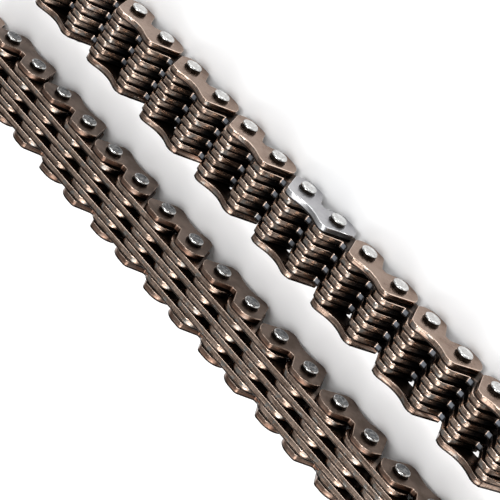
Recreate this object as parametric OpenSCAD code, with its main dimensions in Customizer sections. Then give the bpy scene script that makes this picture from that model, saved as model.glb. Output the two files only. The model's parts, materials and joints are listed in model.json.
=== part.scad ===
// Inverted-tooth timing chain in two straight lengths that lie side by side, pins parallel.
// One length lies on its back with the teeth up, the other stands on its teeth with the back up.
// X runs along the chain, Y along the pins, Z up from the surface that both lengths rest on.

/* [Chain] */
// Distance from pin to pin
pitch = 6.35; // [5.5:0.05:9.5]
// Rows in each length: plain rows at both ends, guide rows between
rows = 17; // [9:2:21]
// Toothed lanes across the chain, from guide plate to guide plate
lanes = 7; // [3:2:11]
// Length that one of the two lies further along than the other
run_shift = 2.6; // [-6:0.1:6]
// Free space between the facing pin ends of the two lengths
run_gap = 6.8; // [1:0.1:20]

/* [Toothed link plate] */
// Thickness of a toothed link plate
link_t = 1; // [0.6:0.05:2]
// Height of the straight back over the pin line
link_back = 2.8; // [2.2:0.05:3.4]
// Depth of the teeth below the pin line
tooth_depth = 3.65; // [3:0.05:4.5]
// Tooth tip's reach from the pin line towards the middle
tip_in = 1.1; // [0.7:0.05:1.3]
// Tooth tip's reach from the pin line towards the end
tip_out = 0.7; // [0.4:0.05:0.9]
// Rounding of the tooth tip's corner towards the crotch
tip_in_round = 0.65; // [0.1:0.05:0.9]
// Rounding of the tooth tip's corner towards the end
tip_out_round = 0.4; // [0.1:0.05:0.6]
// Half width of the crotch at its bottom
crotch_half = 0.45; // [0.2:0.05:0.8]
// Depth of the crotch's bottom below the pin line
crotch_z = 0.7; // [0.2:0.05:1.5]
// Rounding of the crotch's bottom corners
crotch_round = 0.35; // [0.1:0.05:0.6]

/* [Guide plate] */
// Thickness of a guide plate
guide_t = 1; // [0.6:0.05:2]
// Height of the two lobes over the pin line
guide_back = 2.95; // [2.2:0.05:3.4]
// Depth of the toes below the pin line
toe_depth = 3.8; // [3.2:0.05:4.5]
// Toe corner's reach from the pin line towards the end
toe_out = 0.75; // [0.3:0.05:0.95]
// Rounding of the toe's outer corner
toe_round = 0.9; // [0.1:0.05:1]
// Length of the toe before the waist begins
toe_len = 1.15; // [0.7:0.05:1.5]
// Rounding where the toe runs into the waist
shoulder_round = 1.2; // [0.4:0.1:1.6]
// Height of the waist over the toes, at the middle
waist_rise = 0.85; // [0.5:0.05:1.2]
// Slope of the waist's sides
waist_slope = 24; // [18:1:30]
// Half width of the back notch at its bottom
notch_half = 0.4; // [0.2:0.05:0.7]
// Height of the back notch's bottom over the pin line
notch_z = 0.3; // [0:0.05:1]
// Rounding of the back notch's bottom corners
notch_round = 0.35; // [0.1:0.05:0.6]
// Half width of the back notch at its mouth
mouth_half = 2.15; // [1.6:0.05:2.6]
// Rounding of the lobes where the notch begins
lobe_round = 0.8; // [0.2:0.1:1.2]

/* [Plate ends] */
// Free space between the end tips of neighbouring plates in one lane
end_gap = 0.46; // [0.36:0.02:0.8]
// Height of the end tip over the pin line
end_z = 0.65; // [0.3:0.05:1]
// Rounding of the end tip
end_tip_round = 0.3; // [0.1:0.05:0.5]
// How far the end leans in from its tip to the back
end_lean = 0.9; // [0.6:0.05:1.4]
// Rounding from the end to the back
end_round = 2.4; // [1:0.1:3]

/* [Pins] */
// Diameter of a pin
pin_d = 2.4; // [1.8:0.05:3]
// Length of pin that stands out of a guide plate
head_h = 0.7; // [0.3:0.05:1.2]
// Bevel round the pin's end
head_bevel = 0.12; // [0.05:0.01:0.3]
// Diameter of the dish that riveting leaves in the pin's end
dish_d = 1.5; // [0.8:0.1:1.7]
// Depth of that dish
dish_h = 0.1; // [0.04:0.02:0.3]

/* [Clearances] */
// Free space between neighbouring plates
plate_gap = 0.05; // [0.04:0.01:0.15]
// Radial running clearance of a pin in the toothed link plates
bore_clearance = 0.05; // [0.02:0.01:0.1]
// Radial clearance of a riveted pin in the plates of its own row
rivet_clearance = 0.02; // [0.01:0.01:0.05]

/* [Hidden] */
$fn = 48;
edge_use = 0.98; // share of an edge that the roundings at its two ends may take
clean_cut = 1.0005; // a rounding's circle reaches just past its tangent points, to cut both edges cleanly
inner_links = ceil((lanes - 1) / 2); // links inside a guide row; an even number of lanes gains one
last_row = 2 * round((rows - 1) / 2) + 1;
pin_r = pin_d / 2;
lane_pitch = link_t + plate_gap;
half_stack = inner_links * lane_pitch + link_t / 2;
guide_y = half_stack + plate_gap + guide_t / 2;
pin_half = guide_y + guide_t / 2 + head_h;
run_y = pin_half + run_gap / 2;
end_x = pitch - end_gap / 2;
middle_row = (last_row + 1) / 2;
timing_row = middle_row + middle_row % 2;
beside_row = timing_row + 1;

bronze = "#8c7466";
silver = "#c3c4c6";
steel = "#b9bab8";

function plain(row) = row % 2 == 1;
function row_name(run, row) = str(run, "_row_", row < 10 ? "0" : "", row);

TEETH_UP = "teeth_up";
BACK_UP = "back_up";
RUNS = [TEETH_UP, BACK_UP];
function whole(run, row) = run == BACK_UP || (row != timing_row && row != beside_row);

// Outlines. A corner is [x, z, radius], z counts towards the teeth, and corners run anticlockwise.
// An edge that two roundings share too tightly makes both smaller.
function corner(c, i) = c[(i + len(c)) % len(c)];
function spot(c, i) = [corner(c, i)[0], corner(c, i)[1]];
function unit(v) = v / norm(v);
function back_edge(c, i) = unit(spot(c, i - 1) - spot(c, i));
function next_edge(c, i) = unit(spot(c, i + 1) - spot(c, i));
function half_angle(c, i) = acos(back_edge(c, i) * next_edge(c, i)) / 2;
function wanted(c, i) = corner(c, i)[2] / tan(half_angle(c, i));
function edge_share(c, i) =
    min(1, edge_use * norm(spot(c, i + 1) - spot(c, i)) / (wanted(c, i) + wanted(c, i + 1)));
function rounding(c, i) = corner(c, i)[2] * min(edge_share(c, i - 1), edge_share(c, i));
function setback(c, i) = rounding(c, i) / tan(half_angle(c, i));
function arc_start(c, i) = spot(c, i) + back_edge(c, i) * setback(c, i);
function arc_end(c, i) = spot(c, i) + next_edge(c, i) * setback(c, i);
function inward(c, i) = unit(back_edge(c, i) + next_edge(c, i));
function arc_centre(c, i) = spot(c, i) + inward(c, i) * rounding(c, i) / sin(half_angle(c, i));
function convex(c, i) = cross(next_edge(c, i), back_edge(c, i)) > 0;

// What a rounding takes off the outline at one corner
module corner_cut(c, i) {
    out = -inward(c, i) * setback(c, i);
    if (convex(c, i)) difference() {
        polygon([arc_start(c, i), arc_start(c, i) + out, arc_end(c, i) + out, arc_end(c, i)]);
        rounding_disc(c, i);
    }
    else intersection() {
        before = spot(c, i) + back_edge(c, i) * setback(c, i) * 1.5;
        after = spot(c, i) + next_edge(c, i) * setback(c, i) * 1.5;
        polygon([before - out, before + out, after + out, after - out]);
        rounding_disc(c, i);
    }
}

module rounding_disc(c, i) {
    translate(arc_centre(c, i)) circle(rounding(c, i) * clean_cut);
}

module outline(c) {
    last = len(c) - 1;
    difference() {
        polygon([
            for (i = [0 : last]) each convex(c, i) ? [spot(c, i)] : [arc_start(c, i), arc_end(c, i)]
        ]);
        for (i = [0 : last]) corner_cut(c, i);
    }
}

// A whole outline: its right half, a corner on the middle line if it has one, and the left half
function whole_outline(half, middle = []) = concat(
    half, middle, [for (i = [len(half) - 1 : -1 : 0]) [-half[i][0], half[i][1], half[i][2]]]
);

// Right half of each outline, from the back round the end to the tooth side
function plate_end(back) = [
    [end_x - end_lean, -back, end_round],
    [end_x, -end_z, end_tip_round]
];

link_half = concat(
    plate_end(link_back),
    [
        [pitch / 2 + tip_out, tooth_depth, tip_out_round],
        [pitch / 2 - tip_in, tooth_depth, tip_in_round],
        [crotch_half, crotch_z, crotch_round]
    ]
);

// The waist's two sides would meet this high over the toes, and its rounding fills them down to waist_rise
toe_in_x = pitch / 2 + toe_out - toe_len;
waist_meet = toe_in_x * tan(waist_slope);
waist_round = (waist_meet - waist_rise) / (1 / cos(waist_slope) - 1);

guide_half = concat(
    [
        [notch_half, -notch_z, notch_round],
        [mouth_half, -guide_back, lobe_round]
    ],
    plate_end(guide_back),
    [
        [pitch / 2 + toe_out, toe_depth, toe_round],
        [toe_in_x, toe_depth, shoulder_round]
    ]
);

module bores(radius) {
    for (side = [-1, 1]) translate([side * pitch / 2, 0]) circle(radius);
}

// Plates stand across the pins: the outline's second axis becomes Z and the thickness lies along Y
module plate(y, thickness) {
    translate([0, y + thickness / 2, 0]) rotate([90, 0, 0]) linear_extrude(thickness) children();
}

module link_plate(y, bore_r) {
    plate(y, link_t) difference() {
        outline(whole_outline(link_half));
        bores(bore_r);
    }
}

module guide_plate(y) {
    plate(y, guide_t) difference() {
        outline(whole_outline(guide_half, [[0, toe_depth - waist_meet, waist_round]]));
        bores(pin_r + rivet_clearance);
    }
}

function link_lane_y(lane) = (inner_links + 1 - lane) * lane_pitch;

// Plain row: its links fill every second lane and turn on the pins of the guide rows beside it
module plain_link(n) {
    color(bronze) link_plate(link_lane_y(2 * n - 1), pin_r + bore_clearance);
}

module plain_links() {
    for (n = [1 : inner_links + 1]) plain_link(n);
}

// Guide row: two guide plates, the links in the lanes between, and two riveted pins
module inner_link(n) {
    color(bronze) link_plate(link_lane_y(2 * n), pin_r + rivet_clearance);
}

module front_guide_plate(tint) {
    color(tint) guide_plate(guide_y);
}

module rear_guide_plate() {
    color(bronze) guide_plate(-guide_y);
}

module guide_row_plates() {
    front_guide_plate(bronze);
    rear_guide_plate();
    for (n = [1 : inner_links]) inner_link(n);
}

module pin(side) {
    dish_r = dish_d / 2;
    color(steel) translate([side * pitch / 2, 0, 0]) rotate([90, 0, 0]) rotate_extrude() polygon([
        [0, -pin_half + dish_h],
        [dish_r, -pin_half + dish_h],
        [dish_r + dish_h, -pin_half],
        [pin_r - head_bevel, -pin_half],
        [pin_r, -pin_half + head_bevel],
        [pin_r, pin_half - head_bevel],
        [pin_r - head_bevel, pin_half],
        [dish_r + dish_h, pin_half],
        [dish_r, pin_half - dish_h],
        [0, pin_half - dish_h]
    ]);
}

module guide_row_pins() {
    for (side = [-1, 1]) pin(side);
}

// Where a row lies: the teeth-up length rests on its backs, the back-up length on its teeth
module on_row(run, row) {
    up = run == TEETH_UP;
    x = (row - middle_row) * pitch + (up ? 1 : -1) * run_shift / 2;
    z = up ? max(link_back, guide_back) : max(tooth_depth, toe_depth);
    translate([x, up ? run_y : -run_y, z]) rotate([up ? 0 : 180, 0, 0]) children();
}

for (run = RUNS, row = [1 : last_row]) {
    name = row_name(run, row);
    if (whole(run, row) && plain(row))
        on_row(run, row) plain_links();
    if (whole(run, row) && !plain(row))
        on_row(run, row) guide_row_plates();
    if (whole(run, row) && !plain(row))
        on_row(run, row) guide_row_pins();
}
for (n = [1 : inner_links + 1])
    on_row(TEETH_UP, beside_row) plain_link(n);
for (n = [1 : inner_links])
    on_row(TEETH_UP, timing_row) inner_link(n);
on_row(TEETH_UP, timing_row) front_guide_plate(silver);  // timing_plate
on_row(TEETH_UP, timing_row) rear_guide_plate();  // timing_row_rear_guide_plate
on_row(TEETH_UP, timing_row) pin(-1);  // timing_row_pin_1
on_row(TEETH_UP, timing_row) pin(1);  // timing_row_pin_2
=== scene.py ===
import json
import random
from math import cos, pi, radians, sin

import bmesh
import bpy
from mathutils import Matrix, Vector


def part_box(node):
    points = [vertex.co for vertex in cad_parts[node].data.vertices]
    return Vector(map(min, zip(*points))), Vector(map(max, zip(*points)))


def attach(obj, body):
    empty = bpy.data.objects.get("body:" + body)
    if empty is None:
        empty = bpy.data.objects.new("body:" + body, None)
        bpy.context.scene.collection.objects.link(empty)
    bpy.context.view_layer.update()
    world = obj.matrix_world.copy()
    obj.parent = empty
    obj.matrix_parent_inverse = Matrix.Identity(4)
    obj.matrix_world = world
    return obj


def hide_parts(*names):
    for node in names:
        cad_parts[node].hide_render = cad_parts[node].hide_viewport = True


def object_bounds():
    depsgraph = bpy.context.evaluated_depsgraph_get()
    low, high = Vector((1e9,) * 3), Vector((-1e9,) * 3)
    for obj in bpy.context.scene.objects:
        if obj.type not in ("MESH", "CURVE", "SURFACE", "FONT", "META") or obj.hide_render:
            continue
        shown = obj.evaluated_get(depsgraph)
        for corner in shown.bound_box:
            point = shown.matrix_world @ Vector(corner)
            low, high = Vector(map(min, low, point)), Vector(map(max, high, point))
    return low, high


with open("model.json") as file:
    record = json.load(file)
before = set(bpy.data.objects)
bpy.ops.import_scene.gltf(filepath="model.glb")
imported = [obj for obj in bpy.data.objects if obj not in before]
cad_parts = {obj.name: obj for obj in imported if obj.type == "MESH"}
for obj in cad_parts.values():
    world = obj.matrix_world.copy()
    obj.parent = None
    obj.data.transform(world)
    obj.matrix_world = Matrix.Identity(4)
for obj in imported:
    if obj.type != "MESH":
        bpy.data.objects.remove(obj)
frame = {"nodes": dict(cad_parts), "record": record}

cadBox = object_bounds()
millimetre = 0.001

# the chain's own measures, the same as in the solids
chain = {
    "pitch": 6.35 * millimetre,
    "lanePitch": 1.05 * millimetre,
    "plateThickness": 1.0 * millimetre,
    "runY": 8.8 * millimetre,          # middle of each length, one at +, one at -
    "pinRadius": 1.2 * millimetre,
    "pinHalfLength": 5.4 * millimetre,
    "crotchBelow": 3.1 * millimetre,   # from the top of the teeth-up length down to its crotches
    "endX": 46.5 * millimetre,         # the end rows' links lie beyond this
    "linksY": 3.7 * millimetre,        # the links lie within this of a length's middle
    "outsideY": 4.55 * millimetre,     # beyond this a guide plate shows its outer side
}

# camera: fitted to the pin heads and tooth tips of the photograph
photoCamera = {
    "place": (0.11280641, 0.11474896, 0.22438252),
    "turn": (-2.8926, 35.4343, 40.9681),  # degrees, XYZ
    "lens": 143.196,
}
cameraData = bpy.data.cameras.new("photoCamera")
cameraData.lens = photoCamera["lens"]
cameraData.sensor_width = 36
cameraData.clip_start = 0.01
cameraData.clip_end = 20
camera = bpy.data.objects.new("photoCamera", cameraData)
camera.location = photoCamera["place"]
camera.rotation_euler = [radians(a) for a in photoCamera["turn"]]
bpy.context.scene.collection.objects.link(camera)
bpy.context.scene.camera = camera
bpy.context.scene.view_settings.view_transform = "Standard"
print("camera set")


class Signal:
    # one output socket of a node tree; sums on it add Math nodes
    def __init__(self, tree, socket=None):
        self.tree, self.socket = tree, socket

    def node(self, kind, settings=None, inputs=None, output=0):
        made = self.tree.nodes.new("ShaderNode" + kind)
        for name, value in (settings or {}).items():
            setattr(made, name, value)
        for name, value in (inputs or {}).items():
            if isinstance(value, Signal):
                self.tree.links.new(value.socket, made.inputs[name])
            else:
                made.inputs[name].default_value = value
        return Signal(self.tree, made.outputs[output])

    def sum(self, operation, a, b=0.0):
        return self.node("Math", {"operation": operation}, {0: a, 1: b})

    def __add__(self, other):
        return self.sum("ADD", self, other)

    def __radd__(self, other):
        return self.sum("ADD", other, self)

    def __sub__(self, other):
        return self.sum("SUBTRACT", self, other)

    def __rsub__(self, other):
        return self.sum("SUBTRACT", other, self)

    def __mul__(self, other):
        return self.sum("MULTIPLY", self, other)

    def __rmul__(self, other):
        return self.sum("MULTIPLY", other, self)

    def between(self, low, high):
        # 0 below low, 1 above high, smooth between
        return self.node("MapRange", {"interpolation_type": "SMOOTHSTEP"},
                         {"Value": self, "From Min": low, "From Max": high})

    def patch(self, low, high, amount):
        # 0 below low, the amount above high
        return self.between(low, high) * amount

    def colours(self, first, second):
        # first where this signal is 0, second where it is 1
        return self.node("Mix", {"data_type": "RGBA"}, {0: self, 6: first, 7: second}, output=2)

    def layer(self, name):
        # a number that the mesh carries, for each corner or face
        return self.node("Attribute", {"attribute_name": name}, output=2)

    def noise(self, place, scale, detail):
        return self.node("TexNoise", None, {"Vector": place, "Scale": scale, "Detail": detail})

    def drawnNoise(self, place, scales, detail):
        # noise that is drawn out along the axes with a small scale
        drawn = self.node("Mapping", None, {"Vector": place, "Scale": scales})
        return self.noise(drawn, 1.0, detail)


def rgb(r, g, b):
    # a colour given as it looks on screen, 0 to 255
    return tuple((c / 255) ** 2.2 for c in (r, g, b)) + (1.0,)


def startMaterial(name):
    material = bpy.data.materials.new(name)
    material.use_nodes = True
    tree = material.node_tree
    shader = next(n for n in tree.nodes if n.type == "BSDF_PRINCIPLED")
    return material, tree, shader


def join(tree, signal, shader, socket):
    tree.links.new(signal.socket, shader.inputs[socket])


# plate steel: each finish is used on bronze-toned plates and on the silvery timing plate
# in each finish, the colour for what lies far down between the plates and the guide plates' edge colour are
# painted shade
bronzeFinish = {
    "face": {"tone": rgb(160, 137, 122), "stain": rgb(127, 104, 89), "paintedShade": rgb(60, 49, 41),
             "rough": (0.20, 0.34), "bump": 0.20},
    "edge": {"tone": rgb(200, 176, 159), "stain": rgb(112, 94, 82), "paintedShade": rgb(46, 46, 47),
             "grey": rgb(142, 140, 135), "guide": rgb(100, 76, 64), "crotch": rgb(104, 108, 114),
             "rough": (0.15, 0.28), "bump": 0.24},
    "corner": {"tone": rgb(226, 202, 185), "stain": rgb(190, 164, 146), "paintedShade": rgb(40, 38, 37),
               "rough": (0.12, 0.20), "bump": 0.06},
}
timingFinish = {
    "face": {"tone": rgb(188, 187, 189), "stain": rgb(168, 167, 170), "paintedShade": rgb(168, 167, 170),
             "rough": (0.26, 0.38), "bump": 0.08},
    "edge": {"tone": rgb(210, 210, 212), "stain": rgb(168, 167, 168), "paintedShade": rgb(112, 111, 110),
             "grey": rgb(180, 180, 182), "guide": rgb(112, 111, 110), "crotch": rgb(112, 111, 110),
             "rough": (0.24, 0.40), "bump": 0.25},
    "corner": {"tone": rgb(244, 244, 244), "stain": rgb(222, 222, 224), "paintedShade": rgb(180, 180, 180),
               "rough": (0.14, 0.26), "bump": 0.06},
}
# scales of the patterns, in repeats to a metre
plateGrain = {"grey": 900, "cloud": 420, "spot": 1900, "grain": 9000,
              "striae": (7000, 260, 7000), "scuffs": (420, 4200, 900)}
# where each pattern begins to show, where it is whole, and how much it counts
plateWear = {
    "cloud": (0.38, 0.72, 0.55),
    "spot": (0.45, 0.75, 0.35),
    "tone": 0.35,                      # difference between one plate and the next
    "clean": 0.1,
    # painted shade: how it grows with depth between the plates, and how soon corners and bevels that look
    # down take it
    "down": (0.10, 0.66), "paintedShadeCloud": (0.35, 0.65, 0.24), "paintedShadeLeast": 0.84,
    "cornerDown": (0.30, 0.72), "cornerShade": 0.9,
    "sheared": (0.46, 0.80), "shearWave": 0.5,   # a punched edge shears this far in, then breaks
    "edgeStain": 0.45, "striae": (0.40, 0.66, 0.35), "broken": 0.6, "scuffs": (0.48, 0.58, 0.6),
    "grey": (0.54, 0.64, 0.8),
    "brokenRough": 0.7, "striaeRough": 0.3, "brokenGrain": 1.6,
    # painted light: a lighter bluish grey on the crotch floors
    "crotchLightCover": 1.1, "crotchSpot": 0.6, "crotchRough": 1.9,
    # painted shade along the rear side of each plate
    "gapShadeTone": rgb(24, 22, 21), "gapShadeLine": (0.29, 0.41), "gapShadeWave": 0.12, "gapShadeCover": 0.97,
    "paintedShadeRough": 0.12, "bumpDepth": 0.02 * millimetre,
}


def plateMaterial(name, zone, look):
    material, tree, shader = startMaterial(name)
    start = Signal(tree)
    wear = plateWear
    place = start.node("TexCoord", output=3)
    cloud = start.noise(place, plateGrain["cloud"], 3.0)
    spot = start.noise(place, plateGrain["spot"], 4.0)
    grain = start.noise(place, plateGrain["grain"], 2.0)
    tone = start.layer("plateTone")
    down = start.layer("platePaintedShade")
    depth = start.layer("plateDepth")
    stain = cloud.patch(*wear["cloud"]) + spot.patch(*wear["spot"]) + tone * wear["tone"] - wear["clean"]
    # painted shade, growing as a point lies further down between the plates
    paintedShade = down.between(*wear["down"]) * (wear["paintedShadeLeast"] + cloud.patch(*wear["paintedShadeCloud"]))
    paintedShadeTone = look["paintedShade"]
    height = grain
    rough = stain
    if zone == "corner":
        # corners take painted shade sooner, and bevels that look down take painted shade too
        shaded = start.layer("plateShaded")
        paintedShade = paintedShade.sum("MAXIMUM", down.between(*wear["cornerDown"]), shaded * wear["cornerShade"])
    if zone == "edge":
        striae = start.drawnNoise(place, plateGrain["striae"], 3.0)
        scuffs = start.drawnNoise(place, plateGrain["scuffs"], 3.0)
        broken = 1 - (depth + spot * wear["shearWave"]).between(*wear["sheared"])
        stain = stain * wear["edgeStain"] + striae.patch(*wear["striae"]) + broken * wear["broken"]
        stain = stain + scuffs.patch(*wear["scuffs"])
        rough = broken * wear["brokenRough"] + striae * wear["striaeRough"]
        height = striae * (1 - broken) + grain * wear["brokenGrain"] * broken
        # the guide plates' edges take a brown painted shade
        paintedShadeTone = start.layer("plateGuide").colours(look["paintedShade"], look["guide"])
    surface = stain.colours(look["tone"], look["stain"])
    if zone == "edge":
        grey = start.noise(place, plateGrain["grey"], 2.0)
        surface = grey.patch(*wear["grey"]).colours(surface, look["grey"])
    # painted shade over the surface colour
    surface = paintedShade.colours(surface, paintedShadeTone)
    if zone == "edge":
        # painted light: the crotch floors take a lighter bluish grey over the painted shade
        crotch = start.layer("plateCrotchLight")
        cover = crotch * (wear["crotchLightCover"] - spot * wear["crotchSpot"])
        surface = cover.colours(surface, look["crotch"])
        rough = rough + crotch * wear["crotchRough"]
    if zone != "face":
        # painted shade along the rear side of each plate, on the line to the next plate
        gapShade = 1 - (depth + spot * wear["gapShadeWave"]).between(*wear["gapShadeLine"])
        surface = (gapShade * wear["gapShadeCover"]).colours(surface, wear["gapShadeTone"])
    join(tree, surface, shader, "Base Color")
    low, high = look["rough"]
    join(tree, rough * (high - low) + low + paintedShade * wear["paintedShadeRough"], shader, "Roughness")
    bump = start.node("Bump", None, {"Height": height, "Strength": look["bump"],
                                     "Distance": wear["bumpDepth"]})
    join(tree, bump, shader, "Normal")
    shader.inputs["Metallic"].default_value = 1.0
    return material


zones = ("face", "edge", "corner")
bronzePlate = [plateMaterial("bronzePlate." + zone, zone, bronzeFinish[zone]) for zone in zones]
timingPlate = [plateMaterial("timingPlate." + zone, zone, timingFinish[zone]) for zone in zones]
print("plate materials made")

# plates: die-rolled corners on both faces, put on a copy of each node's own solids
plateShape = {
    "cornerBevel": 0.10 * millimetre, "cornerSegments": 3, "sharpAngle": 60, "toneSpread": 1.0,
    "faceTurn": 0.999, "edgeTurn": 0.02,    # a plate's flats and its edge, by the normal's y
    "shadedTurn": -0.25, "floorTurn": 0.9,  # turned down, and level, by the normal's z
    "paintedShadeBelow": 3.1 * millimetre,     # from the chain's top down to where the painted shade is full
    "backReach": 1.4 * millimetre,     # what lies this near the ground gets less painted shade again
    "endPaintedShade": 0.2,                    # the end rows' links get at most this much painted shade, as nothing covers them
    "guidePaintedShade": 0.52,                 # painted shade on the guide plates' edges is at least this on their inner side
    "wornReach": 0.36 * millimetre,    # depth of the worn tip corners
    "wornFacet": 0.30 * millimetre,    # rounding facets are narrower than this
    "crease": 24,                      # edges that turn more than this stay crisp on the worn flats
    "crotchHeight": 0.4 * millimetre,  # a crotch's floor lies within this of crotchBelow
    "crotchFloor": 0.9 * millimetre,   # and within this of the row's middle
    "litSide": 0.55 * millimetre,      # middle of the crotch's rounding that catches light
    "litWidth": 0.25 * millimetre,
    "endReach": 0.05 * millimetre,     # a guide plate's end corner lies this near its outermost point
    "endPoint": 0.0003 * millimetre,   # and its outermost edge within this
    "endRound": 0.42 * millimetre,     # and is rounded from this far on both sides
    "endSegments": 6,
    "outerPaintedShade": {1: 0.0, -1: 0.47},   # painted shade on the guide plates' outer faces of the back-up length
}
toneOf = random.Random(4)


def plateCentre(y):
    # middle of the lane that a point at this y belongs to
    run = chain["runY"] if y > 0 else -chain["runY"]
    return run + round((y - run) / chain["lanePitch"]) * chain["lanePitch"]


def makePiece(name, shape, materials):
    mesh = bpy.data.meshes.new(name)
    shape.to_mesh(mesh)
    shape.free()
    for material in materials:
        mesh.materials.append(material)
    piece = bpy.data.objects.new(name, mesh)
    bpy.context.scene.collection.objects.link(piece)
    return piece


def boxMiddle(node):
    low, high = (Vector(c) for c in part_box(node))
    return (low + high) / 2


def onGuidePlate(place):
    # the guide plates lie outside the links, on both sides of a length
    return abs(abs(place.y) - chain["runY"]) > chain["linksY"]


def edgesAcross(shape):
    # the edges that run through a plate from one face to the other
    return [e for e in shape.edges
            if abs(e.verts[0].co.y - e.verts[1].co.y) > 0.5 * chain["plateThickness"]]


def wearTips(shape, middle):
    # the rounded corners of the links' tooth tips are worn to one flat each
    side = 1 if middle.y > 0 else -1
    across = [e for e in edgesAcross(shape) if not onGuidePlate(e.verts[0].co)]
    if not across:
        return
    tip = max(side * e.verts[0].co.z for e in across)
    small = plateShape["wornFacet"] * chain["plateThickness"]
    worn = [e for e in across if tip - side * e.verts[0].co.z < plateShape["wornReach"]
            and all(f.calc_area() < small for f in e.link_faces)]
    bmesh.ops.dissolve_edges(shape, edges=worn, use_verts=True)


def roundEnds(shape, middle):
    # the guide plates' end corners get a wide rounding
    ends = [(abs(e.verts[0].co.x - middle.x), e) for e in edgesAcross(shape) if onGuidePlate(e.verts[0].co)]
    if not ends:
        return
    reach = max(x for x, e in ends)
    corner = [e for x, e in ends if reach - x < plateShape["endPoint"]]
    beside = [e for x, e in ends if reach - x < plateShape["endReach"] and e not in corner]
    bmesh.ops.dissolve_edges(shape, edges=beside, use_verts=True)
    bmesh.ops.bevel(shape, geom=corner, offset=plateShape["endRound"], offset_type="OFFSET",
                    affect="EDGES", segments=plateShape["endSegments"], profile=0.5, material=-1)


def markFaces(shape, middle):
    # which finish a face has, the tone of its plate, and where painted shade and painted light go
    tone = shape.faces.layers.float.new("plateTone")
    shaded = shape.faces.layers.float.new("plateShaded")
    guide = shape.faces.layers.float.new("plateGuide")
    crotch = shape.faces.layers.float.new("plateCrotchLight")
    tones = {}
    for face in shape.faces:
        face.normal_update()
        centre = face.calc_center_median()
        lane = round(plateCentre(centre.y), 7)
        face[tone] = tones.setdefault(lane, toneOf.random() * plateShape["toneSpread"])
        flat = abs(face.normal.y)
        face.material_index = (0 if flat > plateShape["faceTurn"] else
                               1 if flat < plateShape["edgeTurn"] else 2)
        face.smooth = face.material_index > 0
        # bevels that look down get painted shade
        looksDown = face.normal.z < plateShape["shadedTurn"]
        face[shaded] = 1.0 if face.material_index == 2 and looksDown else 0.0
        face[guide] = 1.0 if onGuidePlate(centre) else 0.0
        # the crotch floors get painted light
        low = abs(cadBox[1][2] - centre.z - chain["crotchBelow"]) < plateShape["crotchHeight"]
        inside = centre.y > 0 and abs(centre.x - middle.x) < plateShape["crotchFloor"]
        face[crotch] = 1.0 if low and inside and face.normal.z > plateShape["floorTurn"] else 0.0
    for edge in shape.edges:
        if len(edge.link_faces) == 2 and {f.material_index for f in edge.link_faces} == {1}:
            edge.smooth = edge.calc_face_angle() < radians(plateShape["crease"])


def paintedShadeAmount(place, middle):
    # how much painted shade a point of a plate gets, from 0 for what lies open to 1 for what lies far down
    # between the plates
    side = 1 if place.y > 0 else -1
    if abs(place.y - side * chain["runY"]) > chain["outsideY"]:
        return plateShape["outerPaintedShade"][side]
    below = cadBox[1][2] - place.z
    # the crotch rounding that catches light gets no painted shade
    lit = abs(place.x - middle.x + plateShape["litSide"]) < plateShape["litWidth"]
    if side > 0 and lit and abs(below - chain["crotchBelow"]) < plateShape["crotchHeight"]:
        return 0.0
    height = place.z - cadBox[0][2]
    dark = min(1.0, below / plateShape["paintedShadeBelow"]) * min(1.0, height / plateShape["backReach"])
    if abs(place.x) > chain["endX"]:
        dark = min(dark, plateShape["endPaintedShade"])
    return max(plateShape["guidePaintedShade"], dark) if onGuidePlate(place) else dark


def finishPlates(node, materials):
    shape = bmesh.new()
    shape.from_mesh(frame["nodes"][node].data)
    bmesh.ops.remove_doubles(shape, verts=shape.verts, dist=1e-7)
    bmesh.ops.dissolve_limit(shape, angle_limit=radians(0.2), verts=shape.verts, edges=shape.edges)
    middle = boxMiddle(node)
    wearTips(shape, middle)
    roundEnds(shape, middle)
    sharp = [e for e in shape.edges
             if len(e.link_faces) == 2 and e.calc_face_angle() > radians(plateShape["sharpAngle"])]
    bmesh.ops.bevel(shape, geom=sharp, offset=plateShape["cornerBevel"], offset_type="OFFSET",
                    affect="EDGES", segments=plateShape["cornerSegments"], profile=0.5, material=-1,
                    clamp_overlap=False)
    shape.faces.ensure_lookup_table()
    markFaces(shape, middle)
    depth = shape.verts.layers.float.new("plateDepth")
    paintedShade = shape.verts.layers.float.new("platePaintedShade")
    for vert in shape.verts:
        vert[depth] = (vert.co.y - plateCentre(vert.co.y)) / chain["plateThickness"] + 0.5
        vert[paintedShade] = paintedShadeAmount(vert.co, middle)
    return makePiece(node + ".finished", shape, materials)


# pins: ground steel with a rolled rim and the dish that riveting leaves
pinShape = {
    "steps": 48,
    "rim": 0.26 * millimetre,
    "dishRadius": 0.66 * millimetre,
    "dishDepth": 0.07 * millimetre,
    "lip": 0.07 * millimetre,
    "dishCrown": 0.02 * millimetre,    # the dish's floor rises this much in the middle
    "lipDrop": 0.012 * millimetre,
    "landEdge": 0.02 * millimetre,     # the flat land ends this far before the rim's rounding
    "rimAngles": (12, 26, 40, 55, 72, 90),
    "belowRim": 0.5 * millimetre,
    "flankTurn": 0.05, "endTurn": 0.9,  # the flank and the flat ends, by the normal's y
    "pinEndShade": 0.95,                   # painted shade on the flat ends of the back-up length's pins
}


def pinProfile():
    # half of a pin's outline, as (radius, distance from the pin's middle)
    radius, end = chain["pinRadius"], chain["pinHalfLength"]
    rim, dish, lip = pinShape["rim"], pinShape["dishRadius"], pinShape["lip"]
    bottom = end - pinShape["dishDepth"]
    points = [(0, bottom + pinShape["dishCrown"]), (dish * 0.5, bottom + 0.4 * pinShape["dishCrown"])]
    points += [(dish - lip, bottom), (dish, bottom + 0.35 * (end - bottom))]
    points += [(dish + lip, end - pinShape["lipDrop"]), (dish + 1.6 * lip, end)]
    points += [(radius - rim - pinShape["landEdge"], end)]
    points += [(radius - rim + rim * sin(radians(a)), end - rim + rim * cos(radians(a)))
               for a in pinShape["rimAngles"]]
    points += [(radius, end - pinShape["belowRim"]), (radius, 0.6 * end), (radius, 0.0)]
    return points


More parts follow.
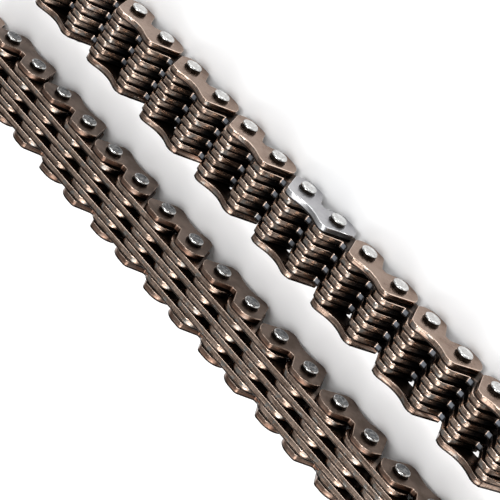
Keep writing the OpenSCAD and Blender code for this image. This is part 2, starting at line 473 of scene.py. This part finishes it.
def finishPins(node, centres, materials):
    shape = bmesh.new()
    for x, y, z in centres:
        half = pinProfile()
        outline = half + [(r, -h) for r, h in reversed(half[:-1])]
        verts = [shape.verts.new((x + r, y + h, z)) for r, h in outline]
        edges = [shape.edges.new(pair) for pair in zip(verts, verts[1:])]
        bmesh.ops.spin(shape, geom=verts + edges, cent=(x, y, z), axis=(0, 1, 0), dvec=(0, 0, 0),
                       angle=radians(360), steps=pinShape["steps"], use_merge=True, use_duplicate=False)
    bmesh.ops.remove_doubles(shape, verts=shape.verts, dist=1e-7)
    bmesh.ops.recalc_face_normals(shape, faces=shape.faces)
    pinShade = shape.faces.layers.float.new("pinPaintedShade")
    for face in shape.faces:
        flat = abs(face.normal.y)
        face.material_index = 0 if flat < pinShape["flankTurn"] else 1
        face.smooth = True
        if face.calc_center_median().y < 0:      # the back-up length's flat ends get painted shade, its rims do not
            face[pinShade] = pinShape["pinEndShade"] if flat > pinShape["endTurn"] else 0.0
    return makePiece(node + ".finished", shape, materials)


# the colours for the back-up length's pin ends are painted shade
pinFinish = {
    "flank": {"tone": rgb(52, 47, 43), "stain": rgb(24, 22, 20), "pinShade": rgb(40, 37, 34),
              "rough": (0.22, 0.36), "bump": 0.10},
    "end": {"tone": rgb(222, 222, 220), "stain": rgb(140, 139, 137), "pinShade": rgb(74, 77, 80),
            "rough": (0.12, 0.30), "bump": 0.30},
}


# the pins' patterns: spots, and lines round them from grinding; and spots left free of the painted shade
pinWear = {
    "spotScale": 2400, "lineScale": (900, 15000, 900),
    "spot": (0.42, 0.78, 0.6), "lines": (0.5, 0.8, 0.2),
    "unshadedSpots": (0.48, 0.64, 0.45),
    "bumpDepth": 0.02 * millimetre,
}


def pinMaterial(name, look):
    material, tree, shader = startMaterial(name)
    start = Signal(tree)
    place = start.node("TexCoord", output=3)
    spot = start.noise(place, pinWear["spotScale"], 4.0)
    lines = start.drawnNoise(place, pinWear["lineScale"], 2.0)
    stain = spot.patch(*pinWear["spot"]) + lines.patch(*pinWear["lines"])
    # painted shade on the back-up length's pin ends, left out in spots
    pinShade = start.layer("pinPaintedShade") * (1 - spot.patch(*pinWear["unshadedSpots"]))
    surface = stain.colours(look["tone"], look["stain"])
    join(tree, pinShade.colours(surface, look["pinShade"]), shader, "Base Color")
    low, high = look["rough"]
    join(tree, spot * (high - low) + low, shader, "Roughness")
    bump = start.node("Bump", None, {"Height": lines + spot, "Strength": look["bump"],
                                     "Distance": pinWear["bumpDepth"]})
    join(tree, bump, shader, "Normal")
    shader.inputs["Metallic"].default_value = 1.0
    return material


pinSteel = [pinMaterial("pinSteel." + zone, pinFinish[zone]) for zone in ("flank", "end")]
print("pin materials made")


slots = {entry["node"]: entry["material_slot"] for entry in frame["record"]["subparts"]}
bodyOf = {node: body for body, nodes in frame["record"]["behaviour"]["bodies"].items() for node in nodes}
for node in sorted(frame["nodes"]):
    if slots[node] == "pins":
        middle = boxMiddle(node)
        two = node.endswith("_pins")
        centres = [middle + Vector((side * chain["pitch"] / 2, 0, 0)) for side in ((-1, 1) if two else (0,))]
        piece = finishPins(node, centres, pinSteel)
    else:
        piece = finishPlates(node, timingPlate if slots[node] == "timing_plate" else bronzePlate)
    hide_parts(node)
    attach(piece, bodyOf[node])
print("plates and pins finished")

# every solid of the frame carries its finish too
for node, solid in frame["nodes"].items():
    solid.data.materials.clear()
    finish = {"pins": pinSteel, "timing_plate": timingPlate, "plates": bronzePlate}[slots[node]]
    solid.data.materials.append(finish[0])

# studio: pale ground and softboxes, each where one kind of surface reflects it towards the camera
studio = {
    "ground": {"radius": 3.0, "corners": 96, "drop": 0.01 * millimetre, "mottle": 30.0,
               "tone": (0.93, 0.93, 0.935, 1), "light": (0.95, 0.95, 0.95, 1), "rough": 0.75, "gloss": 0.2},
    "room": {"tone": (0.98, 0.99, 1.0, 1), "strength": 0.40},
    "lights": {
        # the box that the rounded ends and worn tips reflect
        "keyBox": {"from": (0.52, -0.42, 0.74), "far": 0.62, "size": (0.40, 0.46), "glow": 2.3},
        # behind and over the chain: light the ground and throw its shade forward
        "backBox": {"from": (0.12, -0.72, 0.70), "far": 1.10, "size": (1.3, 0.30), "glow": 8.3},
        "topBox": {"from": (0.10, 0.06, 1.0), "far": 1.00, "size": (0.40, 0.40), "glow": 8.2},
        # what the plates' front edges reflect
        "frontBox": {"from": (-0.41, 0.80, 0.41), "far": 0.80, "size": (0.44, 0.30), "glow": 3.0},
        # what the pins' rims reflect
        "rimBox": {"from": (0.34, 0.85, 0.34), "far": 0.80, "size": (0.34, 0.24), "glow": 5.5},
    },
}


def makeStudio():
    look = studio["ground"]
    material, tree, shader = startMaterial("paleGround")
    start = Signal(tree)
    place = start.node("TexCoord", output=3)
    mottle = start.noise(place, look["mottle"], 2.0)
    join(tree, mottle.colours(look["tone"], look["light"]), shader, "Base Color")
    shader.inputs["Roughness"].default_value = look["rough"]
    shader.inputs["Specular IOR Level"].default_value = look["gloss"]
    ground = bmesh.new()
    bmesh.ops.create_circle(ground, cap_ends=True, cap_tris=False, segments=look["corners"],
                            radius=look["radius"])
    bmesh.ops.translate(ground, verts=ground.verts, vec=(0, 0, -look["drop"]))
    makePiece("studioGround", ground, [material])
    for name, look in studio["lights"].items():
        data = bpy.data.lights.new(name, "AREA")
        data.shape = "RECTANGLE"
        data.size, data.size_y = look["size"]
        data.energy = look["glow"] * pi * data.size * data.size_y
        lamp = bpy.data.objects.new(name, data)
        lamp.location = Vector(look["from"]).normalized() * look["far"]
        lamp.rotation_euler = (-lamp.location).to_track_quat("-Z", "Y").to_euler()
        bpy.context.scene.collection.objects.link(lamp)
    room = bpy.data.worlds.new("studioRoom")
    room.use_nodes = True
    back = next(n for n in room.node_tree.nodes if n.type == "BACKGROUND")
    back.inputs["Color"].default_value = studio["room"]["tone"]
    back.inputs["Strength"].default_value = studio["room"]["strength"]
    bpy.context.scene.world = room


makeStudio()
print("studio made")
